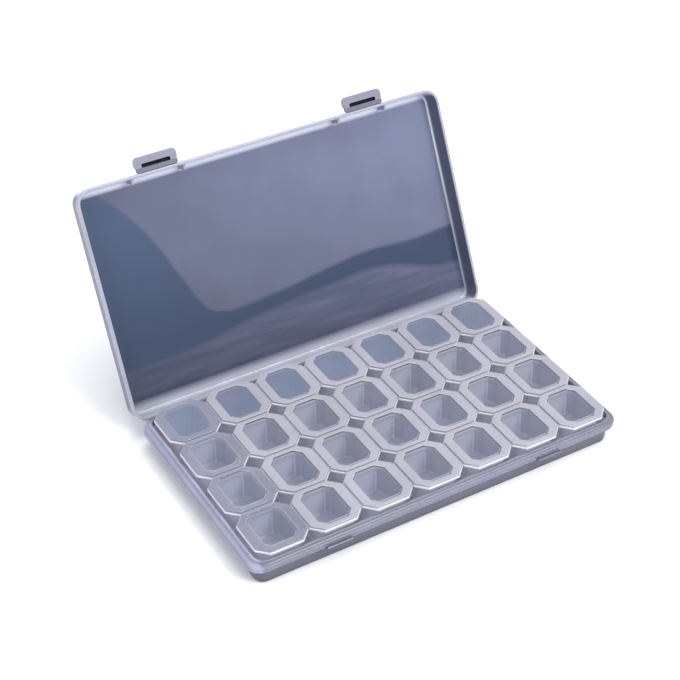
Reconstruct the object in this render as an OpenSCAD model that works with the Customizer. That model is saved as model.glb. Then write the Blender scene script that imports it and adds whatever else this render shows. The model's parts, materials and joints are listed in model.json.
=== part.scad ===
// Parts sorting tray: a shallow clear tray with a hinged main lid, two latch tabs,
// seven lift-out strips of four cups each, and a small hinged lid on every cup.
// X runs along the strips' row, +Y points to the hinge side, Z is up, and the
// origin is the centre of the tray's underside.

/* [Cups] */
// distance between neighbouring strips, along X
pitch_x = 23.6; // [20:0.1:28]
// distance between neighbouring cups of a strip, along Y
pitch_y = 24; // [20:0.1:28]
// height of a strip, from its underside to the top of its deck
strip_h = 13.8; // [13.4:0.1:18]
// how far the corners of the deck are cut back, which makes the notches between cups
notch = 4.5; // [3:0.1:5]
// thickness of a cup's wall and floor
cup_wall = 0.9; // [0.7:0.1:1.2]
// thickness of a cup lid, raised border included
cup_lid_t = 1; // [0.8:0.1:1.4]

/* [Tray] */
// thickness of the tray and of the main lid
shell = 1.2; // [1:0.1:1.5]
// height of the rim that the main lid closes on
rim_z = 10.6; // [9.6:0.1:11.4]
// how far the rim stands out beyond the end walls
rim_out_x = 2.6; // [2:0.1:4]
// how far the rim stands out beyond the front and back walls
rim_out_y = 1.4; // [1.2:0.1:1.8]

/* [Main lid] */
// height of the main lid above the rim
lid_h = 9.5; // [8.5:0.1:14]
// how far the main lid is turned up from closed
open_angle = 116.5; // [0:0.5:135]

/* [Latches] */
// width of a latch tab
latch_w = 19.6; // [14:0.1:24]
// distance from the middle of the lid to the middle of a latch tab
latch_x = 49.5; // [40:0.5:55]

/* [Hidden] */
columns = 7;
rows = 4;
gap = 0.2;
over = 1;
round_fn = 48;

strip_w = pitch_x - gap;
strip_z = shell;
deck_z = strip_z + strip_h;
deck_t = 1;
cup_x = strip_w - 5;
cup_y = pitch_y - 2.6;
cup_cut = notch - 0.9;

// the decks fit between the tray's end walls and reach over its front and back walls
end_gap = 0.4;
cup_gap = 0.5;
inner_x = columns * pitch_x + 2 * end_gap;
inner_y = (rows - 1) * pitch_y + cup_y + 2 * cup_gap;
inner_r = 4;
body_x = inner_x + 2 * shell;
body_y = inner_y + 2 * shell;
body_r = inner_r + shell;
rim_x = body_x + 2 * rim_out_x;
rim_y = body_y + 2 * rim_out_y;
rim_r = 6.5;
lip_h = 2.6;
rib_h = 1.8;

// small lid of one cup
plate_x = strip_w - 1;
plate_y = pitch_y - 0.8;
plate_cut = notch - 0.3;
border_x = 3.2;
border_y = 1.5;
border_h = 0.2;
window_cut = 3;
plug_gap = 0.3;
plug_x = cup_x - 2 * cup_wall - 2 * plug_gap;
plug_y = cup_y - 2 * cup_wall - 2 * plug_gap;
plug_cut = inset_cut(cup_cut, cup_wall + plug_gap);
plug_t = 0.8;
plug_h = 1.4;
bead_r = 0.28;
cup_hinge_x = plate_x / 2 + 0.2;
cup_hinge_z = deck_z + 0.3;
cup_hinge_l = plate_y - 2 * plate_cut;

// main hinge: a pin on the tray, snapped into an open ring on the lid
hinge_x = 52;
knuckle_w = 9;
knuckle_r = 1.5;
pin_r = 0.8;
bore_r = 0.85;
lug_t = 2.4;
pocket_w = knuckle_w + 2 * gap;
axis_y = body_y / 2 + knuckle_r + 0.1;
axis_z = rim_z - 1.6;
arm_top = axis_z + 5.6;
arm_in = 0.6;
snap_w = 1.2;

// latch tab and the catch it hooks over
lid_top = rim_z + lid_h;
latch_l = 6.2;
latch_t = 1.2;
latch_r = 2;
pivot_r = 0.5;
latch_axis_y = -rim_y / 2 - pivot_r - 0.02;
latch_axis_z = rim_z + 0.6;
slot_w = 12.8;
slot_h = 1.9;
slot_at = 2.5;
neck_y = 1.2;
plate_from = 0.9;
catch_w = slot_w - 1;
catch_h = 1;
catch_z = latch_axis_z - slot_at - catch_h / 2;
catch_y = rim_y / 2 + 1.6;

// ribs inside the lid's front wall, one each side of a latch; each reaches into the
// notch between two strips when the lid is closed
lid_rib_t = 1.2;
lid_rib_out = 2.4;
lid_rib_x = [1.5 * pitch_x + 1.8, 2.5 * pitch_x + 1.8];
lid_rib_from = rim_z + rib_h + 0.4;

clear_pp = [0.72, 0.76, 0.86, 0.6];
cup_pp = [0.8, 0.83, 0.9, 0.6];
latch_pp = [0.62, 0.64, 0.72, 0.9];

function column_x(column) = (column - (columns + 1) / 2) * pitch_x;

// row 1 is next to the hinge, row 4 is at the front
function row_y(row) = ((rows + 1) / 2 - row) * pitch_y;

// length of a cut corner after the whole outline has moved inwards by inset
function inset_cut(cut, inset) = cut - inset * (2 - sqrt(2));

// a rounded rectangle, centred
module round_rect(x, y, r) {
    square([x - 2 * r, y], center = true);
    square([x, y - 2 * r], center = true);
    for (sx = [-1, 1], sy = [-1, 1])
        translate([sx * (x / 2 - r), sy * (y / 2 - r)])
            circle(r = r, $fn = round_fn);
}

// an upright block with rounded corners, from z0 to z1
module slab(x, y, r, z0, z1) {
    translate([0, 0, z0])
        linear_extrude(z1 - z0)
            round_rect(x, y, r);
}

// an upright block with its four corners cut off at 45 degrees, from z0 to z1
module cut_slab(x, y, cut, z0, z1) {
    hx = x / 2;
    hy = y / 2;
    translate([0, 0, z0])
        linear_extrude(z1 - z0)
            polygon([
                [hx - cut, -hy], [hx, cut - hy], [hx, hy - cut], [hx - cut, hy],
                [cut - hx, hy], [-hx, hy - cut], [-hx, cut - hy], [cut - hx, -hy]
            ]);
}

// a box from x0..x1, y0..y1, z0..z1
module box(x0, x1, y0, y1, z0, z1) {
    translate([x0, y0, z0])
        cube([x1 - x0, y1 - y0, z1 - z0]);
}

// a cylinder along X, centred on the origin
module rod_x(r, l) {
    rotate([0, 90, 0])
        cylinder(r = r, h = l, center = true, $fn = round_fn);
}

// turns what is drawn in the closed pose up around the main hinge
module opened() {
    translate([0, axis_y, axis_z])
        rotate([-open_angle, 0, 0])
            translate([0, -axis_y, -axis_z])
                children();
}

// two lugs with the pin between them
module pin_and_lugs() {
    lug_mid = pocket_w / 2 + lug_t / 2;
    for (side = [-1, 1])
        translate([side * lug_mid, 0, 0]) {
            translate([0, axis_y, axis_z])
                rod_x(knuckle_r, lug_t);
            box(-lug_t / 2, lug_t / 2, body_y / 2 - 0.5, axis_y, axis_z - knuckle_r, rim_z);
        }
    translate([0, axis_y, axis_z])
        rod_x(pin_r, pocket_w + lug_t);
}

module tray() {
    color(clear_pp) {
        difference() {
            union() {
                slab(body_x, body_y, body_r, 0, rim_z + rib_h);
                slab(rim_x, rim_y, rim_r, rim_z - lip_h, rim_z);
            }
            slab(inner_x, inner_y, inner_r, shell, rim_z + rib_h + over);
            for (side = [-1, 1])
                translate([side * hinge_x, 0, 0])
                    box(-pocket_w / 2, pocket_w / 2, body_y / 2, rim_y, 0, rim_z + over);
        }
        for (side = [-1, 1]) {
            translate([side * hinge_x, 0, 0])
                pin_and_lugs();
            translate([side * latch_x, 0, 0])
                box(-catch_w / 2, catch_w / 2, -catch_y, -body_y / 2 + 0.5, catch_z, catch_z + catch_h);
        }
    }
}

// the ring that snaps over a pin, and the arm that carries it
module lid_knuckle() {
    difference() {
        union() {
            translate([0, axis_y, axis_z])
                rod_x(knuckle_r, knuckle_w);
            box(-knuckle_w / 2, knuckle_w / 2, axis_y - arm_in, axis_y + knuckle_r, axis_z, arm_top);
        }
        translate([0, axis_y, axis_z])
            rod_x(bore_r, knuckle_w + over);
        box(-knuckle_w, knuckle_w, axis_y - snap_w / 2, axis_y + snap_w / 2,
            axis_z - 2 * knuckle_r, axis_z);
    }
}

module lid() {
    inside_y = rim_y / 2 - shell;
    color(clear_pp)
        opened() {
            difference() {
                slab(rim_x, rim_y, rim_r, rim_z, lid_top);
                slab(rim_x - 2 * shell, rim_y - 2 * shell, rim_r - shell, rim_z - over, lid_top - shell);
            }
            for (side = [-1, 1]) {
                translate([side * hinge_x, 0, 0])
                    lid_knuckle();
                for (x = lid_rib_x)
                    translate([side * x, 0, 0])
                        box(-lid_rib_t / 2, lid_rib_t / 2, -inside_y - 0.5, -inside_y + lid_rib_out,
                            lid_rib_from, lid_top - shell / 2);
            }
        }
}

// a slotted tab that reaches out in the plane of the lid's rim
module latch(side) {
    color(latch_pp)
        opened()
            translate([side * latch_x, latch_axis_y, latch_axis_z]) {
                rod_x(pivot_r, latch_w - 2);
                box(1 - latch_w / 2, latch_w / 2 - 1, -neck_y, 0, -0.3, pivot_r);
                difference() {
                    translate([0, -(latch_l + plate_from) / 2, 0])
                        slab(latch_w, latch_l - plate_from, latch_r, 0, latch_t);
                    translate([0, -slot_at, 0])
                        slab(slot_w, slot_h, slot_h / 3, -over, latch_t + over);
                }
            }
}

module latch_left() {
    latch(-1);
}

module latch_right() {
    latch(1);
}

// four cups under one deck, whose cut corners leave the notches between cups
module strip(column) {
    color(cup_pp)
        translate([column_x(column), 0, 0])
            difference() {
                for (row = [1 : rows])
                    translate([0, row_y(row), 0]) {
                        cut_slab(strip_w, pitch_y, notch, deck_z - deck_t, deck_z);
                        cut_slab(cup_x, cup_y, cup_cut, strip_z, deck_z - deck_t / 2);
                    }
                for (row = [1 : rows])
                    translate([0, row_y(row), 0])
                        cut_slab(cup_x - 2 * cup_wall, cup_y - 2 * cup_wall, inset_cut(cup_cut, cup_wall),
                                 strip_z + cup_wall, deck_z + over);
            }
}

// a plate with a raised border on top, a plug ring below and a hinge bead on its +X side
module cup_lid(column, row) {
    plate_top = deck_z + cup_lid_t;
    color(cup_pp)
        translate([column_x(column), row_y(row), 0]) {
            difference() {
                cut_slab(plate_x, plate_y, plate_cut, deck_z, plate_top);
                cut_slab(plate_x - 2 * border_x, plate_y - 2 * border_y, window_cut,
                         plate_top - border_h, plate_top + over);
            }
            difference() {
                cut_slab(plug_x, plug_y, plug_cut, deck_z - plug_h, deck_z + cup_lid_t / 4);
                cut_slab(plug_x - 2 * plug_t, plug_y - 2 * plug_t, inset_cut(plug_cut, plug_t),
                         deck_z - plug_h - over, deck_z);
            }
            translate([cup_hinge_x, 0, cup_hinge_z])
                rotate([90, 0, 0])
                    cylinder(r = bead_r, h = cup_hinge_l, center = true, $fn = round_fn);
        }
}

tray();
lid();
latch_left();
latch_right();
strip(1);  // strip_1
strip(2);  // strip_2
strip(3);  // strip_3
strip(4);  // strip_4
strip(5);  // strip_5
strip(6);  // strip_6
strip(7);  // strip_7
cup_lid(1, 1);  // cup_lid_1_1
cup_lid(1, 2);  // cup_lid_1_2
cup_lid(1, 3);  // cup_lid_1_3
cup_lid(1, 4);  // cup_lid_1_4
cup_lid(2, 1);  // cup_lid_2_1
cup_lid(2, 2);  // cup_lid_2_2
cup_lid(2, 3);  // cup_lid_2_3
cup_lid(2, 4);  // cup_lid_2_4
cup_lid(3, 1);  // cup_lid_3_1
cup_lid(3, 2);  // cup_lid_3_2
cup_lid(3, 3);  // cup_lid_3_3
cup_lid(3, 4);  // cup_lid_3_4
cup_lid(4, 1);  // cup_lid_4_1
cup_lid(4, 2);  // cup_lid_4_2
cup_lid(4, 3);  // cup_lid_4_3
cup_lid(4, 4);  // cup_lid_4_4
cup_lid(5, 1);  // cup_lid_5_1
cup_lid(5, 2);  // cup_lid_5_2
cup_lid(5, 3);  // cup_lid_5_3
cup_lid(5, 4);  // cup_lid_5_4
cup_lid(6, 1);  // cup_lid_6_1
cup_lid(6, 2);  // cup_lid_6_2
cup_lid(6, 3);  // cup_lid_6_3
cup_lid(6, 4);  // cup_lid_6_4
cup_lid(7, 1);  // cup_lid_7_1
cup_lid(7, 2);  // cup_lid_7_2
cup_lid(7, 3);  // cup_lid_7_3
cup_lid(7, 4);  // cup_lid_7_4
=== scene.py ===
import json
import math

import bmesh
import bpy
from mathutils import Matrix, Vector


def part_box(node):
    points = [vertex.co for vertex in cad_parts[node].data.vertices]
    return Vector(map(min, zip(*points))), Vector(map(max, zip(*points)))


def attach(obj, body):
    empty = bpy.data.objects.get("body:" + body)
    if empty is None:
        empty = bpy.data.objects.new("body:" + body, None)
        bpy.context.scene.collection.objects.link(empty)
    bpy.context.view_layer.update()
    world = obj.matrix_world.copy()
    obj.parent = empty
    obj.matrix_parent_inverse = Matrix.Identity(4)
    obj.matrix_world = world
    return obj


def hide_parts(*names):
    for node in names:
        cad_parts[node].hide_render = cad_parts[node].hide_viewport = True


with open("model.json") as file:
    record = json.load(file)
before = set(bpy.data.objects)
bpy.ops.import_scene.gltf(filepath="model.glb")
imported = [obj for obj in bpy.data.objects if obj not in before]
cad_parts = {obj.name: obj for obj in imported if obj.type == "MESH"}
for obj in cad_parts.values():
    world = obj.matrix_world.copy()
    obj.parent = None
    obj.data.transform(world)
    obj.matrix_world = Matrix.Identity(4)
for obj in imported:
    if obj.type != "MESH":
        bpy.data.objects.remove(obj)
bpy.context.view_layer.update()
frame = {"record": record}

# Lengths are in millimetres, in the CAD frame, unless a name says otherwise.
MM = 0.001

# ---- sizes shared with the CAD model ----
COLUMNS = range(1, 8)
ROWS = range(1, 5)
ROW_MIDDLE = 2.5
SHELL = 1.2
RIM_Z = 10.6
LIP_H = 2.6
RIB_H = 1.8
LID_TOP = 20.1
DECK_Z = 15.0
LATCH_X = 49.5
HINGE_X = 52.0


def box_of(node):
    """Low and high corner of a CAD node's box, in mm."""
    low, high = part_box(node)
    return low / MM, high / MM


def centre(node):
    low, high = box_of(node)
    return (low + high) / 2


def column_x(column):
    return centre(f"strip_{column}").x


def row_y(row):
    return (ROW_MIDDLE - row) * pitch_y


pitch_x = column_x(2) - column_x(1)
pitch_y = centre("cup_lid_1_1").y - centre("cup_lid_1_2").y
lid_low, lid_high = box_of("lid")

# outlines: x size, y size, corner radius
RIM = (lid_high.x - lid_low.x, len(ROWS) * pitch_y + 3.6, 6.5)
BODY = (RIM[0] - 5.2, RIM[1] - 2.8, 5.2)

joints = {joint["name"]: joint for joint in frame["record"]["behaviour"]["joints"]}
main_axis = Vector(joints["lid_hinge"]["pos_m"]) / MM
OPEN_DEG = -joints["lid_hinge"]["range_deg"][0]
OPENED = (
    Matrix.Translation(main_axis)
    @ Matrix.Rotation(math.radians(-OPEN_DEG), 4, "X")
    @ Matrix.Translation(-main_axis)
)

# ---- mesh tools ----
QUARTERS = ((1, 1), (-1, 1), (-1, -1), (1, -1))  # sides of x and y, anticlockwise from the back right
CORNER_STEPS = 6
BEND_STEPS = 2
LEAST_RADIUS = 0.15
BACK_BEND = (3, 4)  # faces of a cut-corner ring that form the bend right of its back wall
CUT_INSET = 2 - math.sqrt(2)  # how much a cut corner shortens per mm the outline moves inwards
BLOCK_SOFT = 0.25
ROD_SOFT = 0.15
ROD_STEPS = 20
SHARP_DEG = 38


def rounded(base, out, z, at=(0.0, 0.0)):
    """The rounded rectangle base = (x, y, radius) moved outwards by out, at height z, anticlockwise."""
    x, y, r = base
    half_x = x / 2 - r
    half_y = y / 2 - r
    r = max(r + out, LEAST_RADIUS)
    points = []
    for quarter, (side_x, side_y) in enumerate(QUARTERS):
        for step in range(CORNER_STEPS + 1):
            a = math.radians(90) * (quarter + step / CORNER_STEPS)
            point_x = at[0] + side_x * half_x + r * math.cos(a)
            point_y = at[1] + side_y * half_y + r * math.sin(a)
            points.append(Vector((point_x, point_y, z)))
    return points


def cut(base, out, z, at=(0.0, 0.0), soft=0.8):
    """The cut-corner rectangle base = (x, y, cut) moved outwards by out, every bend a little rounded."""
    x, y, corner = base
    half_x = x / 2 + out - soft
    half_y = y / 2 + out - soft
    corner = corner + (out - soft) * CUT_INSET
    points = []
    for quarter, (side_x, side_y) in enumerate(QUARTERS):
        bends = [
            (side_x * half_x, side_y * (half_y - corner)),
            (side_x * (half_x - corner), side_y * half_y),
        ]
        if side_x * side_y < 0:
            bends.reverse()
        for bend, (bend_x, bend_y) in enumerate(bends):
            for step in range(BEND_STEPS + 1):
                a = math.radians(90 * quarter + 45 * (bend + step / BEND_STEPS))
                point_x = at[0] + bend_x + soft * math.cos(a)
                point_y = at[1] + bend_y + soft * math.sin(a)
                points.append(Vector((point_x, point_y, z)))
    return points


def arc(out, z, r, start, end, steps=4):
    """Points (out, z) of a fillet about a centre, from start to end degrees."""
    points = []
    for step in range(steps + 1):
        a = math.radians(start + (end - start) * step / steps)
        points.append((out + r * math.cos(a), z + r * math.sin(a)))
    return points


class Profile:
    """Collects the rings of a solid, each with the material of the band that follows it."""

    def __init__(self, shape, at=(0.0, 0.0)):
        self.shape = shape
        self.at = at
        self.rings = []
        self.slots = []

    def add(self, base, points, slot):
        for out, z in points:
            self.rings.append(self.shape(base, out, z, self.at))
            self.slots.append(slot)

    def skin(self, mesh, bend_slot=None):
        skin(mesh, self.rings, self.slots, bend_slot=bend_slot)


def skin(mesh, rings, slots, closed=False, bend_slot=None):
    """Joins rings of points into a surface, with end faces or closed in a loop.

    The bend beside the back wall of a cup takes bend_slot, where the wall has slot 0.
    """
    rows = [[mesh.verts.new(point * MM) for point in ring] for ring in rings]
    count = len(rows[0])
    bands = len(rows) if closed else len(rows) - 1
    for i in range(bands):
        low, high = rows[i], rows[(i + 1) % len(rows)]
        for k in range(count):
            j = (k + 1) % count
            face = mesh.faces.new((low[k], low[j], high[j], high[k]))
            face.material_index = slots[i]
            if bend_slot is not None and slots[i] == 0 and k in BACK_BEND:
                face.material_index = bend_slot
    if not closed:
        mesh.faces.new(list(reversed(rows[0]))).material_index = slots[0]
        mesh.faces.new(rows[-1]).material_index = slots[-1]


def block(mesh, low, high, r, slot=0):
    """A box with rounded upright corners and softened top and bottom edges."""
    soft = min(r, BLOCK_SOFT)
    middle = ((low[0] + high[0]) / 2, (low[1] + high[1]) / 2)
    profile = Profile(rounded, middle)
    base = (high[0] - low[0], high[1] - low[1], r)
    profile.add(base, [(-soft, low[2]), (0, low[2] + soft), (0, high[2] - soft), (-soft, high[2])], slot)
    profile.skin(mesh)


def rod(mesh, r, start, end, slot=0, steps=ROD_STEPS):
    """A round rod between two points, with softened ends."""
    start = Vector(start)
    along = Vector(end) - start
    side = along.orthogonal().normalized()
    other = along.normalized().cross(side)
    soft = min(ROD_SOFT, r / 3)
    length = along.length
    rings = []
    for distance, radius in ((0, r - soft), (soft, r), (length - soft, r), (length, r - soft)):
        ring = []
        for step in range(steps):
            a = math.tau * step / steps
            spoke = side * math.cos(a) + other * math.sin(a)
            ring.append(start + along * (distance / length) + spoke * radius)
        rings.append(ring)
    skin(mesh, rings, [slot] * len(rings))


def finish_piece(name, mesh, materials, node, matrix=None):
    """Makes the object, shades it, hangs it on its body and hides the CAD node it stands for."""
    if matrix is not None:
        mesh.transform(Matrix.Scale(MM, 4) @ matrix @ Matrix.Scale(1 / MM, 4))
    bmesh.ops.recalc_face_normals(mesh, faces=mesh.faces)
    for face in mesh.faces:
        face.smooth = True
    data = bpy.data.meshes.new(name)
    mesh.to_mesh(data)
    mesh.free()
    data.set_sharp_from_angle(angle=math.radians(SHARP_DEG))
    for material in materials:
        data.materials.append(material)
    piece = bpy.data.objects.new(name, data)
    bpy.context.scene.collection.objects.link(piece)
    even = piece.modifiers.new("even_shading", "WEIGHTED_NORMAL")
    even.keep_sharp = True
    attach(piece, node)
    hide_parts(node)


# ---- material tools ----
# colour of the painted highlight along sharp edges
EDGE_HIGHLIGHT_COLOUR = (0.60, 0.61, 0.70)
THROUGH_LIGHT = (0.88, 0.90, 0.96)
PLASTIC_IOR = 1.49
CLOUDS_PER_METRE = 45.0
SPECKS_PER_METRE = 1400.0
SPECK_DETAIL = 2.0
NOISE_LOW = 0.3  # the noise seldom leaves the span from NOISE_LOW to NOISE_HIGH
NOISE_HIGH = 0.7
CLOUD_TINTS = (0.92, 1.06)
# how far from a sharp edge the painted highlight reaches
EDGE_HIGHLIGHT_REACH = 0.6
EDGE_SAMPLES = 4
BUMP_STRENGTH = 0.25
BUMP_DEPTH = 0.4


def math_node(tree, operation, a, b=0.0, clamp=False):
    node = tree.nodes.new("ShaderNodeMath")
    node.operation = operation
    node.use_clamp = clamp
    for socket, value in zip(node.inputs, (a, b)):
        if isinstance(value, (int, float)):
            socket.default_value = value
        else:
            tree.links.new(value, socket)
    return node.outputs[0]


def range_node(tree, value, low, high, to_low, to_high):
    node = tree.nodes.new("ShaderNodeMapRange")
    for name, number in (("From Min", low), ("From Max", high), ("To Min", to_low), ("To Max", to_high)):
        node.inputs[name].default_value = number
    tree.links.new(value, node.inputs["Value"])
    return node.outputs["Result"]


def fade(tree, length, start, end, to_start=0.0, to_end=1.0):
    """A ramp over a length: to_start at start mm, to_end at end mm."""
    return range_node(tree, length, start * MM, end * MM, to_start, to_end)


def mix_colour(tree, factor, a, b):
    node = tree.nodes.new("ShaderNodeMix")
    node.data_type = "RGBA"
    tree.links.new(factor, node.inputs[0])
    for socket, value in ((node.inputs[6], a), (node.inputs[7], b)):
        if isinstance(value, tuple):
            socket.default_value = (*value, 1.0)
        else:
            tree.links.new(value, socket)
    return node.outputs[2]


def scale_colour(tree, colour, factor):
    node = tree.nodes.new("ShaderNodeVectorMath")
    node.operation = "SCALE"
    tree.links.new(colour, node.inputs[0])
    tree.links.new(factor, node.inputs["Scale"])
    return node.outputs[0]


def coordinates(tree, kind="Object"):
    return tree.nodes.new("ShaderNodeTexCoord").outputs[kind]


def split(tree, vector):
    node = tree.nodes.new("ShaderNodeSeparateXYZ")
    tree.links.new(vector, node.inputs[0])
    return node.outputs


def noise(tree, coords, per_metre, detail=3.0):
    node = tree.nodes.new("ShaderNodeTexNoise")
    node.inputs["Scale"].default_value = per_metre
    node.inputs["Detail"].default_value = detail
    tree.links.new(coords, node.inputs["Vector"])
    return node.outputs["Fac"]


def painted_edge_highlight(tree, speck):
    """Mask of the painted highlight on sharp edges: 1 where a sharp edge is near; compares the real normal
    with one rounded over the highlight's reach.
    """
    bevel = tree.nodes.new("ShaderNodeBevel")
    bevel.samples = EDGE_SAMPLES
    bevel.inputs["Radius"].default_value = EDGE_HIGHLIGHT_REACH * MM
    geometry = tree.nodes.new("ShaderNodeNewGeometry")
    dot = tree.nodes.new("ShaderNodeVectorMath")
    dot.operation = "DOT_PRODUCT"
    tree.links.new(bevel.outputs["Normal"], dot.inputs[0])
    tree.links.new(geometry.outputs["Normal"], dot.inputs[1])
    edge = range_node(tree, dot.outputs["Value"], 0.99, 0.75, 0.0, 1.0)
    return math_node(tree, "MULTIPLY", edge, range_node(tree, speck, NOISE_LOW, NOISE_HIGH, 0.7, 1.0))


def cloudy_tint(tree, tint, cloud):
    darker, lighter = (tuple(gain * channel for channel in tint) for gain in CLOUD_TINTS)
    return mix_colour(tree, range_node(tree, cloud, NOISE_LOW, NOISE_HIGH, 0.0, 1.0), darker, lighter)


def uneven_surface(tree, cloud, speck, grain):
    """The normal of a slightly wavy surface with fine grain on it."""
    height = math_node(tree, "ADD", cloud, math_node(tree, "MULTIPLY", speck, grain))
    bump = tree.nodes.new("ShaderNodeBump")
    bump.inputs["Strength"].default_value = BUMP_STRENGTH
    bump.inputs["Distance"].default_value = BUMP_DEPTH * MM
    tree.links.new(height, bump.inputs["Height"])
    return bump.outputs["Normal"]


def plastic(name, tint, opacity, roughness, edge=0.0, flat_light=0.4, grain=0.012, gloss=0.5, glow=0.0,
            shade=None):
    """Moulded clear plastic: partly see-through, milkier where it is seen at a flat angle, and paler and
    milkier at sharp edges, which is a painted highlight.

    The glow stands in for light that wanders about inside milky plastic and lights up its dark corners.
    """
    material = bpy.data.materials.new(name)
    material.use_nodes = True
    tree = material.node_tree
    tree.nodes.clear()
    coords = coordinates(tree)
    cloud = noise(tree, coords, CLOUDS_PER_METRE)
    speck = noise(tree, coords, SPECKS_PER_METRE, SPECK_DETAIL)

    base = cloudy_tint(tree, tint, cloud)
    if shade is not None:
        base = shade(tree, base)
    facing = tree.nodes.new("ShaderNodeLayerWeight")
    facing.inputs["Blend"].default_value = 0.35
    flat = math_node(tree, "POWER", facing.outputs["Facing"], 3.0)
    solid = math_node(tree, "ADD", math_node(tree, "MULTIPLY", flat, flat_light), opacity, clamp=True)
    if edge > 0.0:
        # painted highlight: sharp edges turn pale and more opaque
        highlight_amount = math_node(tree, "MULTIPLY", painted_edge_highlight(tree, speck), edge)
        base = mix_colour(tree, highlight_amount, base, EDGE_HIGHLIGHT_COLOUR)
        solid = math_node(tree, "ADD", solid, highlight_amount, clamp=True)

    surface = tree.nodes.new("ShaderNodeBsdfPrincipled")
    tree.links.new(base, surface.inputs["Base Color"])
    rough = range_node(tree, speck, NOISE_LOW, NOISE_HIGH, roughness * 0.8, roughness * 1.25)
    tree.links.new(rough, surface.inputs["Roughness"])
    surface.inputs["IOR"].default_value = PLASTIC_IOR
    surface.inputs["Specular IOR Level"].default_value = gloss
    surface.inputs["Emission Color"].default_value = (*tint, 1.0)
    surface.inputs["Emission Strength"].default_value = glow
    tree.links.new(uneven_surface(tree, cloud, speck, grain), surface.inputs["Normal"])
    through = tree.nodes.new("ShaderNodeBsdfTransparent")
    through.inputs["Color"].default_value = (*THROUGH_LIGHT, 1.0)
    blend = tree.nodes.new("ShaderNodeMixShader")
    tree.links.new(solid, blend.inputs["Fac"])
    tree.links.new(through.outputs[0], blend.inputs[1])
    tree.links.new(surface.outputs[0], blend.inputs[2])
    output = tree.nodes.new("ShaderNodeOutputMaterial")
    tree.links.new(blend.outputs[0], output.inputs["Surface"])
    return material


# ---- what the lid panel mirrors ----
LID_LIGHT = (0.146, 0.163, 0.252)
LID_DARK = (0.031, 0.048, 0.095)
LID_DARK_TOP = (0.056, 0.085, 0.155)
LID_LOW = (0.054, 0.063, 0.110)
LID_LOW_LIGHT = (0.080, 0.088, 0.146)
FROSTED = (0.35, 0.36, 0.42)
# painted light: a lighter copy of the frosted colour for the lid's front edge and the upper long walls
FROSTED_TOP_PAINTED_LIGHT = (0.70, 0.72, 0.84)
CUP_LIGHT = (0.79, 0.77, 0.74)
# outline of the mirrored dark shape: its side as (height, x), the band's edges as (x, height)
SHAPE_SIDE = [
    (-100, -25), (31, -30), (33.5, -37.5), (36, -40.5), (51, -48), (68, -55.5), (81, -63), (95, -75),
    (120, -99),
]
BAND_TOP = [(-100, 32), (-30, 31.6), (0, 33.6), (20, 36), (40, 37.6), (62, 36.2), (80, 36.8), (120, 38)]
BAND_LOW = [
    (-100, 19.5), (-50, 21), (-20, 25), (20, 28), (36, 29), (50, 27.4), (60, 24.4), (70, 21), (80, 19.4),
    (120, 17),
]
CURVE_LOW = -100.0
CURVE_HIGH = 120.0
SHAPE_BLUR = 2.0
BAND_LOW_BLUR = 3.0
STREAKS_PER_METRE = 260.0
STREAK_SCALE = (0.15, 1.0, 1.0)
STREAK_TILT_DEG = 12


def curve_through(tree, value, points):
    """A smooth function of a length, given by a few (in, out) points in mm; in and out are metres."""
    span = CURVE_HIGH - CURVE_LOW
    node = tree.nodes.new("ShaderNodeFloatCurve")
    line = node.mapping.curves[0]
    while len(line.points) < len(points):
        line.points.new(0.5, 0.5)
    for point, (x, y) in zip(line.points, points):
        point.location = ((x - CURVE_LOW) / span, (y - CURVE_LOW) / span)
    node.mapping.update()
    tree.links.new(fade(tree, value, CURVE_LOW, CURVE_HIGH), node.inputs["Value"])
    return range_node(tree, node.outputs["Value"], 0.0, 1.0, CURVE_LOW * MM, CURVE_HIGH * MM)


def step_between(tree, a, b, width):
    """0 where a is above b, 1 where it is below, with a soft edge of the given width."""
    return fade(tree, math_node(tree, "SUBTRACT", b, a), -width / 2, width / 2)


def place_on_lid(tree):
    """How far right and how far up the open lid a point is, and its object coordinates."""
    coords = coordinates(tree)
    x, y, z = split(tree, coords)
    tilt = math.radians(OPEN_DEG)
    from_y = math_node(tree, "SUBTRACT", y, main_axis.y * MM)
    from_z = math_node(tree, "SUBTRACT", z, main_axis.z * MM)
    along_y = math_node(tree, "MULTIPLY", from_y, -math.cos(tilt))
    along_z = math_node(tree, "MULTIPLY", from_z, math.sin(tilt))
    return x, math_node(tree, "ADD", along_y, along_z), coords


def streaks_on(tree, coords):
    """Long streaks that run almost level across the lid."""
    stretch = tree.nodes.new("ShaderNodeMapping")
    stretch.inputs["Scale"].default_value = STREAK_SCALE
    stretch.inputs["Rotation"].default_value = (0.0, math.radians(STREAK_TILT_DEG), 0.0)
    tree.links.new(coords, stretch.inputs["Vector"])
    return range_node(tree, noise(tree, stretch.outputs[0], STREAKS_PER_METRE), 0.35, 0.7, 0.0, 1.0)


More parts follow.
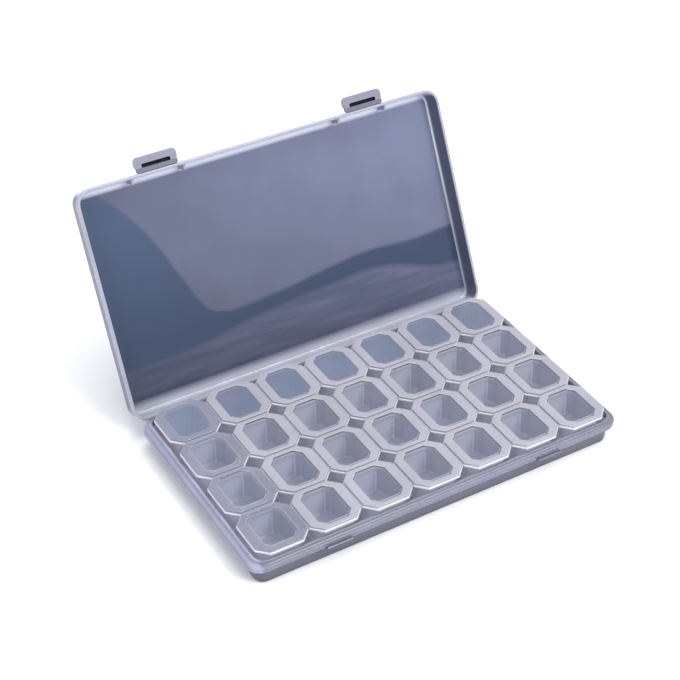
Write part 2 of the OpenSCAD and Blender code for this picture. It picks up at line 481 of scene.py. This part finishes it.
def lid_reflection(tree, base):
    """What the glossy lid panel mirrors: a dark shape at the left that runs into a band across."""
    x, height, coords = place_on_lid(tree)
    side = curve_through(tree, height, SHAPE_SIDE)
    band_top = curve_through(tree, x, BAND_TOP)
    band_low = curve_through(tree, x, BAND_LOW)
    left = step_between(tree, x, side, SHAPE_BLUR)
    under = step_between(tree, height, band_top, SHAPE_BLUR)
    over = step_between(tree, band_low, height, BAND_LOW_BLUR)
    dark = math_node(tree, "MULTIPLY", math_node(tree, "MAXIMUM", left, under), over)
    low_part = math_node(tree, "MULTIPLY", under, math_node(tree, "SUBTRACT", 1.0, over))

    streaky = mix_colour(tree, streaks_on(tree, coords), LID_LOW, LID_LOW_LIGHT)
    low_colour = scale_colour(tree, streaky, fade(tree, height, 8, 22, 0.95, 1.15))
    high_colour = scale_colour(tree, base, fade(tree, height, 35, 95, 0.70, 0.97))
    plain = mix_colour(tree, low_part, high_colour, low_colour)
    brighter_right = scale_colour(tree, plain, fade(tree, x, -80, 85, 0.73, 1.18))
    dark_colour = mix_colour(tree, fade(tree, height, 30, 95), LID_DARK, LID_DARK_TOP)
    panel = mix_colour(tree, dark, brighter_right, dark_colour)
    with_foot = mix_colour(tree, fade(tree, height, 7.5, 4.0), panel, FROSTED)
    # painted light: at its front edge the panel turns to the lighter frosted colour
    return mix_colour(tree, fade(tree, height, 95.0, 96.6), with_foot, FROSTED_TOP_PAINTED_LIGHT)


def sideways(tree):
    """0 on faces that look to the front, the back, up or down, 1 on faces that look left or right."""
    across = split(tree, coordinates(tree, "Normal"))[0]
    return range_node(tree, math_node(tree, "ABSOLUTE", across), 0.45, 0.8, 0.0, 1.0)


def frosted_walls_painted_light_and_shade(tree, base):
    """Inside walls of the lid: frosted along the long ones, lighter towards the front edge as painted
    light; the short sides keep the dark base colour as painted shade.
    """
    height = place_on_lid(tree)[1]
    # painted light: the long walls grow lighter towards the front edge
    frosted = mix_colour(tree, fade(tree, height, 30, 70), FROSTED, FROSTED_TOP_PAINTED_LIGHT)
    # painted shade: walls that face left or right keep the dark base colour
    return mix_colour(tree, sideways(tree), frosted, base)


def bright_back_walls(tree, base):
    """Cup walls: the back ones catch the light, the left and right ones stay darker."""
    return mix_colour(tree, sideways(tree), CUP_LIGHT, base)


def bright_left_rim(tree, base):
    """The raised edge at the tray's left end catches more light than the rest of the rim."""
    x = split(tree, coordinates(tree))[0]
    inside_of = fade(tree, x, -87.0, -85.2, 0.0, 0.8)
    outside_of = fade(tree, x, -81.5, -83.0)
    gain = math_node(tree, "ADD", math_node(tree, "MULTIPLY", inside_of, outside_of), 1.0)
    return scale_colour(tree, base, gain)


# ---- materials: tint, opacity, roughness ----
TRAY_WALL = plastic("tray_wall", (0.080, 0.085, 0.125), 0.82, 0.22, edge=0.2)
TRAY_RIM = plastic("tray_rim", (0.180, 0.185, 0.245), 0.88, 0.28, edge=0.3, shade=bright_left_rim)
TRAY_FLOOR = plastic("tray_floor", (0.64, 0.63, 0.71), 0.95, 0.25, grain=0.0, glow=0.08)
LID_WALL = plastic("lid_wall", (0.33, 0.34, 0.43), 0.85, 0.25, edge=0.4)
LID_INSIDE = plastic("lid_inside_wall", (0.075, 0.088, 0.145), 0.88, 0.2, shade=frosted_walls_painted_light_and_shade)
LID_PANEL = plastic("lid_panel", LID_LIGHT, 0.92, 0.12, flat_light=0.1, shade=lid_reflection)
LATCH = plastic("latch", (0.185, 0.185, 0.245), 0.94, 0.3, edge=0.25)
# near-black: painted shade on the latch slot's walls and film
LATCH_SLOT_PAINTED_SHADE = plastic("latch_slot_painted_shade", (0.010, 0.012, 0.022), 1.0, 0.5, gloss=0.05)
# dark: painted shade on the latch's neck and hinge bead
LATCH_NECK_PAINTED_SHADE = plastic("latch_neck_painted_shade", (0.10, 0.105, 0.14), 1.0, 0.4)
CUP_WALL = plastic("cup_wall", (0.56, 0.55, 0.57), 0.80, 0.15, grain=0.0, shade=bright_back_walls)
CUP_OUTSIDE = plastic("cup_outside", (0.62, 0.62, 0.71), 0.80, 0.2, grain=0.0, glow=0.11)
# near-white: painted highlight on the bend right of each cup's back wall
CUP_BEND_PAINTED_HIGHLIGHT = plastic("cup_bend_painted_highlight", (0.92, 0.92, 0.94), 0.95, 0.15, grain=0.0)
CUP_FLOOR = plastic("cup_floor", (0.60, 0.59, 0.60), 0.80, 0.2, grain=0.0)
CUP_DECK = plastic("cup_deck", (0.50, 0.50, 0.56), 0.95, 0.3, glow=0.05)
PLUG_RING = plastic("cup_lid_ring", (0.62, 0.60, 0.60), 0.80, 0.2, grain=0.0)
WINDOW_CLEAR = plastic("cup_lid_window", (0.32, 0.34, 0.40), 0.08, 0.10, flat_light=0.3, grain=0.0)
# bluer and less clear: painted reflection of the lid in the back row's windows
WINDOW_LID_REFLECTION = plastic("cup_lid_window_painted_reflection", (0.22, 0.255, 0.35), 0.45, 0.10, flat_light=0.3, grain=0.0)
BORDER = plastic("cup_lid_border", (0.35, 0.345, 0.40), 0.90, 0.35, edge=0.15)
CLEAR_BORDER = plastic("cup_lid_clear_border", (0.31, 0.32, 0.39), 0.50, 0.15, edge=0.15, grain=0.0)

# ---- tray ----
POCKET_W = 9.4
POCKET_SLANT = 0.1
KNUCKLE_R = 1.5
PIN_R = 0.8
LUG_T = 2.4
LUG_MIDDLE = (POCKET_W + LUG_T) / 2
CATCH = (11.8, 1.0)  # width and height
CATCH_OUT = 1.6
CATCH_Z = 8.7
FOOT_FILLET = 1.6
DRAFT = 0.7
UNDER_RISE = 0.35
LIP_SOFT = 0.35
RIM_SOFT = 0.45
RIB_SOFT = 0.35
FLOOR_SOFT = 0.6


def tray_outline(base, out, z, at):
    """A rounded rectangle whose back edge steps in to the body's wall at the two hinge pockets."""
    ring = rounded(base, out, z, at)
    back = ring[CORNER_STEPS].y
    wall = min(back, BODY[1] / 2)
    outer = POCKET_W / 2
    inner = outer - POCKET_SLANT
    steps = []
    for side in (1, -1):
        for across, y in ((outer, back), (inner, wall), (-inner, wall), (-outer, back)):
            steps.append(Vector((side * HINGE_X + across, y, z)))
    corner_end = CORNER_STEPS + 1
    return ring[:corner_end] + steps + ring[corner_end:]


def build_tray():
    mesh = bmesh.new()
    wall, rim, floor = 0, 1, 2
    shell = Profile(tray_outline)
    lip_z = RIM_Z - LIP_H
    rib_top = RIM_Z + RIB_H
    foot = -FOOT_FILLET - DRAFT
    # underside with a slightly raised middle, foot and drafted outer wall
    shell.add(BODY, [(-7.2, UNDER_RISE), (-6.6, 0.0), (foot - 1.0, 0.0)], wall)
    shell.add(BODY, arc(foot, FOOT_FILLET, FOOT_FILLET, -80, 0, 5), wall)
    shell.add(BODY, [(-0.25, lip_z - 0.5), (0.0, lip_z)], wall)
    # lip
    shell.add(RIM, arc(-LIP_SOFT, lip_z + LIP_SOFT, LIP_SOFT, -90, 0, 3), rim)
    shell.add(RIM, arc(-RIM_SOFT, RIM_Z - RIM_SOFT, RIM_SOFT, 0, 90, 4), rim)
    # locating rib
    shell.add(BODY, [(0.25, RIM_Z), (0.0, RIM_Z + 0.25)], rim)
    shell.add(BODY, arc(-RIB_SOFT, rib_top - RIB_SOFT, RIB_SOFT, 0, 90, 3), rim)
    shell.add(BODY, arc(RIB_SOFT - SHELL, rib_top - RIB_SOFT, RIB_SOFT, 90, 180, 3), rim)
    # inner wall and floor
    shell.add(BODY, [(-SHELL, RIM_Z - 1.0)], floor)
    shell.add(BODY, arc(-SHELL - FLOOR_SOFT, SHELL + FLOOR_SOFT, FLOOR_SOFT, 0, -80, 3), floor)
    shell.add(BODY, [(-2 * SHELL, SHELL)], floor)
    shell.skin(mesh)

    for side in (-1, 1):
        build_catch(mesh, side * LATCH_X, wall)
        build_lugs(mesh, side * HINGE_X, rim)
    finish_piece("tray_shell", mesh, [TRAY_WALL, TRAY_RIM, TRAY_FLOOR], "tray")


def build_catch(mesh, x, slot):
    """The ledge on the tray's front that a latch tab snaps over."""
    width, height = CATCH
    low = (x - width / 2, -RIM[1] / 2 - CATCH_OUT, CATCH_Z - height / 2)
    high = (x + width / 2, -BODY[1] / 2 + 0.6, CATCH_Z + height / 2)
    block(mesh, low, high, 0.4, slot)


def build_lugs(mesh, x, slot):
    """Two lugs behind the tray's back wall and the hinge pin between them."""
    y, z = main_axis.y, main_axis.z
    for end in (-1, 1):
        low_x = x + end * LUG_MIDDLE - LUG_T / 2
        high_x = low_x + LUG_T
        rod(mesh, KNUCKLE_R, (low_x, y, z), (high_x, y, z), slot)
        block(mesh, (low_x, BODY[1] / 2 - 0.4, z - KNUCKLE_R), (high_x, y, RIM_Z), 0.2, slot)
    rod(mesh, PIN_R, (x - LUG_MIDDLE, y, z), (x + LUG_MIDDLE, y, z), slot)


# ---- main lid ----
BORE_R = 0.86
KNUCKLE_W = 9.0
KNUCKLE_STEPS = 18
SNAP_HALF = 0.6
ARM_H = 5.6
LID_RIB_T = 1.2
LID_RIB_REACH = 2.4
LID_RIB_X = (1.5 * pitch_x + 1.8, 2.5 * pitch_x + 1.8)
PANEL_EDGE = 6.0
LID_FILLET = 2.0
LID_INNER_FILLET = 1.6
LID_EDGE_Z = RIM_Z + 0.05  # a hair above the tray's rim
LID_EDGE_SOFT = 0.35


def build_lid():
    mesh = bmesh.new()
    wall, panel, inside = 0, 1, 2
    inner = LID_TOP - SHELL
    soft = LID_EDGE_SOFT
    fillet = LID_INNER_FILLET
    shell = Profile(rounded)
    # inner face, from the middle of the panel down to the edge
    shell.add(RIM, [(-PANEL_EDGE, inner), (-SHELL - LID_FILLET, inner)], panel)
    shell.add(RIM, arc(-SHELL - fillet, inner - fillet, fillet, 80, 20, 3), inside)
    shell.add(RIM, [(-SHELL - 0.05, inner - 2.4), (-SHELL, RIM_Z + 2.4)], inside)
    shell.add(RIM, arc(soft - SHELL, LID_EDGE_Z + soft, soft, 180, 270, 3), wall)
    # outer face, from the edge up to the panel
    shell.add(RIM, arc(-soft, LID_EDGE_Z + soft, soft, 270, 360, 3), wall)
    shell.add(RIM, [(0.0, RIM_Z + 2.0), (-0.2, RIM_Z + 2.3)], inside)
    shell.add(RIM, arc(-0.3 - LID_FILLET, LID_TOP - LID_FILLET, LID_FILLET, 0, 82, 6), wall)
    shell.add(RIM, [(-PANEL_EDGE, LID_TOP)], panel)
    shell.skin(mesh)

    for side in (-1, 1):
        for rib_x in LID_RIB_X:
            build_lid_rib(mesh, side * rib_x)
        build_knuckle(mesh, side * HINGE_X)
    finish_piece("main_lid", mesh, [LID_WALL, LID_PANEL, LID_INSIDE], "lid", OPENED)


def build_lid_rib(mesh, x):
    """A small rib inside the lid's front wall."""
    front = SHELL - RIM[1] / 2
    low = (x - LID_RIB_T / 2, front - 0.3, RIM_Z + RIB_H + 0.4)
    high = (x + LID_RIB_T / 2, front + LID_RIB_REACH, LID_TOP - SHELL + 0.3)
    block(mesh, low, high, 0.3)


def build_knuckle(mesh, x):
    """An open ring round the pin, carried by an arm on the lid's back wall."""
    y, z = main_axis.y, main_axis.z
    section = []
    for radius, direction in ((KNUCKLE_R, 1), (BORE_R, -1)):
        gap = math.asin(SNAP_HALF / radius)
        for step in range(KNUCKLE_STEPS + 1):
            turn = gap + (math.tau - 2 * gap) * step / KNUCKLE_STEPS
            a = direction * turn - math.pi / 2
            section.append((y + radius * math.cos(a), z + radius * math.sin(a)))
    ends = (x - KNUCKLE_W / 2, x + KNUCKLE_W / 2)
    rings = []
    for end in ends:
        rings.append([Vector((end, point_y, point_z)) for point_y, point_z in section])
    skin(mesh, rings, [0, 0])
    block(mesh, (ends[0], y - SNAP_HALF, z + BORE_R + 0.1), (ends[1], y + KNUCKLE_R, z + ARM_H), 0.3)


# ---- latch tabs ----
LATCH_W = 19.6
LATCH_T = 1.2
LATCH_FROM = 0.9
LATCH_TO = 6.2
LATCH_CORNER = 2.0
LATCH_SOFT = 0.3
PIVOT_R = 0.5
SLOT = (12.8, 1.5, 0.5)
SLOT_AT = 2.3
SLOT_SOFT = 0.15
FILM_EDGE = 0.1
FILM_DEPTHS = (0.08, 0.03)  # of the film's two faces, under the tab's outer face


def build_latch(name, side):
    mesh = bmesh.new()
    x = side * LATCH_X
    y = -RIM[1] / 2 - PIVOT_R - 0.02
    z = RIM_Z + 0.6
    top = z + LATCH_T
    half = LATCH_W / 2
    tab, dark, neck = 0, 1, 2
    outer = (LATCH_W, LATCH_TO - LATCH_FROM, LATCH_CORNER)
    middle = (x, y - (LATCH_TO + LATCH_FROM) / 2)
    rings = []
    for out, height in ((-LATCH_SOFT, z), (0, z + LATCH_SOFT), (0, top - LATCH_SOFT), (-LATCH_SOFT, top)):
        rings.append(rounded(outer, out, height, middle))
    # the slot's walls take the near-black material: painted shade
    for out, height in ((SLOT_SOFT, top), (0.0, top - SLOT_SOFT), (0.0, z + SLOT_SOFT), (SLOT_SOFT, z)):
        rings.append(rounded(SLOT, out, height, (x, y - SLOT_AT)))
    skin(mesh, rings, [tab, tab, tab, tab, dark, dark, dark, tab], closed=True)
    # a dark film near the outer face, painted shade: the slot looks as dark as it does in the photo
    film_x = SLOT[0] / 2 + FILM_EDGE
    film_y = SLOT[1] / 2 + FILM_EDGE
    film_low = (x - film_x, y - SLOT_AT - film_y, top - FILM_DEPTHS[0])
    film_high = (x + film_x, y - SLOT_AT + film_y, top - FILM_DEPTHS[1])
    block(mesh, film_low, film_high, 0.02, dark)
    # the bead that stands for the living hinge, and the neck between it and the tab, both dark as painted
    # shade in the gap at the hinge
    rod(mesh, PIVOT_R, (x - half + 1, y, z), (x + half - 1, y, z), neck)
    block(mesh, (x - half + 0.4, y - 1.6, z - 0.3), (x + half - 0.4, y, z + PIVOT_R), 0.2, neck)
    finish_piece(name + "_tab", mesh, [LATCH, LATCH_SLOT_PAINTED_SHADE, LATCH_NECK_PAINTED_SHADE], name, OPENED)


# ---- strips ----
# outlines: x size, y size, cut of the corners
NOTCH = 4.5
CELL = (23.4, pitch_y, NOTCH)
CUP = (18.4, pitch_y - 2.6, NOTCH - 0.9)
CUP_T = 0.9
DECK_T = 1.0
DECK_SOFT = 0.2
CUP_TAPER = 0.9
CUP_FILLET = 2.4


def build_strip(column):
    mesh = bmesh.new()
    wall, deck, floor, bend, outside = 0, 1, 2, 3, 4
    foot = SHELL
    under_deck = DECK_Z - DECK_T
    outer = -CUP_TAPER - CUP_FILLET
    fillet = CUP_FILLET - 0.4
    inner = -CUP_TAPER - CUP_T - fillet
    floor_z = foot + CUP_T
    for row in ROWS:
        cup = Profile(cut, (column_x(column), row_y(row)))
        # outside, from the bottom up
        cup.add(CUP, [(outer, foot)], floor)
        cup.add(CUP, arc(outer, foot + CUP_FILLET, CUP_FILLET, -80, 0, 4), outside)
        cup.add(CUP, [(-0.1, under_deck)], deck)
        cup.add(CELL, [(-DECK_SOFT, under_deck), (0.0, under_deck + DECK_SOFT)], deck)
        cup.add(CELL, [(0.0, DECK_Z - 0.25), (-0.25, DECK_Z)], deck)
        # inside, from the opening down
        cup.add(CUP, [(-CUP_T + 0.4, DECK_Z)], deck)
        cup.add(CUP, [(-CUP_T, DECK_Z - 0.3)], wall)
        cup.add(CUP, arc(inner, floor_z + fillet, fillet, 0, -30, 2), wall)
        cup.add(CUP, arc(inner, floor_z + fillet, fillet, -45, -80, 2), floor)
        cup.add(CUP, [(inner, floor_z)], floor)
        # the bend right of each back wall takes a near-white colour: painted highlight
        cup.skin(mesh, bend_slot=bend)
    finish_piece(f"cup_strip_{column}", mesh, [CUP_WALL, CUP_DECK, CUP_FLOOR, CUP_BEND_PAINTED_HIGHLIGHT, CUP_OUTSIDE],
                 f"strip_{column}")


# ---- cup lids ----
PLATE = (22.4, pitch_y - 0.8, NOTCH - 0.3)
PLATE_T = 1.0
PLATE_SOFT = 0.3
PLUG = (CUP[0] - 2.4, CUP[1] - 2.4, CUP[2] - 1.2 * CUT_INSET)
PLUG_T = 0.8
PLUG_H = 1.4
PLUG_SOFT = 0.2
WINDOW = (PLUG[0] - 2 * PLUG_T + 0.2, PLUG[1] + 0.6, 3.0)
BEAD_X = 11.4
BEAD_R = 0.28
BEAD_STEPS = 12


def build_cup_lid(column, row):
    mesh = bmesh.new()
    window, border, ring = 0, 1, 2
    x, y = column_x(column), row_y(row)
    plate = Profile(cut, (x, y))
    top = DECK_Z + PLATE_T
    plug_low = DECK_Z - PLUG_H
    # top face, from the sunk window outwards and down to the deck
    plate.add(WINDOW, [(-0.5, top - 0.3)], window)
    plate.add(WINDOW, [(0.0, top - 0.22), (0.25, top - 0.05), (0.5, top)], border)
    plate.add(PLATE, arc(-PLATE_SOFT, top - PLATE_SOFT, PLATE_SOFT, 80, 0, 3), border)
    plate.add(PLATE, [(0.0, DECK_Z + 0.2), (-0.2, DECK_Z)], border)
    # plug ring under the plate
    plate.add(PLUG, [(0.05, DECK_Z), (0.0, DECK_Z - PLUG_SOFT)], ring)
    plate.add(PLUG, [(-0.1, plug_low + PLUG_SOFT), (-0.3, plug_low), (PLUG_SOFT - PLUG_T, plug_low)], ring)
    plate.add(PLUG, [(-PLUG_T, plug_low + PLUG_SOFT), (-PLUG_T, DECK_Z + 0.1)], ring)
    plate.add(PLUG, [(-PLUG_SOFT - PLUG_T, DECK_Z + 0.25)], window)
    plate.skin(mesh)
    # the bead that stands for the living hinge
    span = PLATE[1] / 2 - PLATE[2]
    bead_z = DECK_Z + 0.3
    rod(mesh, BEAD_R, (x + BEAD_X, y - span, bead_z), (x + BEAD_X, y + span, bead_z), border, BEAD_STEPS)
    node = f"cup_lid_{column}_{row}"
    border_material = CLEAR_BORDER if column == 1 else BORDER
    # the back row's windows get a bluer, less clear material: painted reflection of the lid
    window_material = WINDOW_LID_REFLECTION if row == 1 else WINDOW_CLEAR
    finish_piece(f"{node}_plate", mesh, [window_material, border_material, PLUG_RING], node)


# ---- floor, light and camera: these sizes are in metres ----
FLOOR_HALF_M = 4.0
FLOOR_DROP_M = 0.0002
FLOOR_COLOUR = (0.93, 0.93, 0.94)
SKY_COLOUR = (0.94, 0.96, 1.0)
SKY_STRENGTH = 0.72
# name, place, target, size, watts, colour
LIGHTS = (
    ("key", (0.35, -0.75, 0.8), (0, 0, 0.02), (0.5, 0.5), 10.0, (1.0, 0.99, 0.97)),
    ("fill", (-0.7, -0.2, 0.6), (0, 0, 0.03), (0.6, 0.6), 2.5, (0.92, 0.95, 1.0)),
    ("top", (0.0, 0.1, 1.1), (0, 0, 0.02), (0.6, 0.6), 5.0, (1.0, 1.0, 1.0)),
)
CAMERA_AZIMUTH = -31.03
CAMERA_ELEVATION = 37.63
CAMERA_ROLL = 0.45
CAMERA_DISTANCE_M = 0.6767
CAMERA_AIM_M = (0.0, 0.0, 0.016)
CAMERA_PAN_M = (-0.01687, 0.02966)  # to the right and up
CAMERA_LENS = 86.81
CAMERA_SENSOR = 36.0
CLIP_START_M = 0.01
CLEAR_LAYERS = 32  # how many see-through faces a ray may cross


def build_floor():
    floor = bpy.data.objects.new("floor", bpy.data.meshes.new("floor"))
    mesh = bmesh.new()
    bmesh.ops.create_grid(mesh, x_segments=1, y_segments=1, size=FLOOR_HALF_M)
    mesh.to_mesh(floor.data)
    mesh.free()
    bpy.context.scene.collection.objects.link(floor)
    floor.location.z = -FLOOR_DROP_M
    paper = bpy.data.materials.new("floor_paper")
    paper.use_nodes = True
    shader = paper.node_tree.nodes["Principled BSDF"]
    shader.inputs["Base Color"].default_value = (*FLOOR_COLOUR, 1.0)
    shader.inputs["Roughness"].default_value = 0.9
    floor.data.materials.append(paper)


def build_world():
    world = bpy.data.worlds.new("studio")
    world.use_nodes = True
    background = world.node_tree.nodes["Background"]
    background.inputs["Color"].default_value = (*SKY_COLOUR, 1.0)
    background.inputs["Strength"].default_value = SKY_STRENGTH
    bpy.context.scene.world = world


def area_light(name, place, target, size, watts, colour):
    data = bpy.data.lights.new(name, "AREA")
    data.shape = "RECTANGLE"
    data.size, data.size_y = size
    data.energy = watts
    data.color = colour
    light = bpy.data.objects.new(name, data)
    light.location = place
    light.rotation_euler = (Vector(target) - Vector(place)).to_track_quat("-Z", "Y").to_euler()
    bpy.context.scene.collection.objects.link(light)


def build_camera():
    """Stands where the photo was taken from."""
    azimuth = math.radians(CAMERA_AZIMUTH)
    elevation = math.radians(CAMERA_ELEVATION)
    roll = math.radians(CAMERA_ROLL)
    forward = Vector((
        -math.sin(azimuth) * math.cos(elevation),
        math.cos(azimuth) * math.cos(elevation),
        -math.sin(elevation),
    ))
    right = Vector((math.cos(azimuth), math.sin(azimuth), 0.0))
    up = right.cross(forward)
    place = Vector(CAMERA_AIM_M) - forward * CAMERA_DISTANCE_M
    place += right * CAMERA_PAN_M[0] + up * CAMERA_PAN_M[1]
    data = bpy.data.cameras.new("photo_camera")
    data.sensor_width = CAMERA_SENSOR
    data.lens = CAMERA_LENS
    data.clip_start = CLIP_START_M
    camera = bpy.data.objects.new("photo_camera", data)
    rolled_right = right * math.cos(roll) + up * math.sin(roll)
    rolled_up = up * math.cos(roll) - right * math.sin(roll)
    axes = Matrix((rolled_right, rolled_up, -forward)).transposed().to_4x4()
    camera.matrix_world = Matrix.Translation(place) @ axes
    bpy.context.scene.collection.objects.link(camera)
    bpy.context.scene.camera = camera


build_tray()
build_lid()
build_latch("latch_left", -1)
build_latch("latch_right", 1)
for column in COLUMNS:
    build_strip(column)
    for row in ROWS:
        build_cup_lid(column, row)
build_floor()
build_world()
for light in LIGHTS:
    area_light(*light)
build_camera()
bpy.context.scene.view_settings.view_transform = "Standard"
bpy.context.scene.cycles.transparent_max_bounces = CLEAR_LAYERS
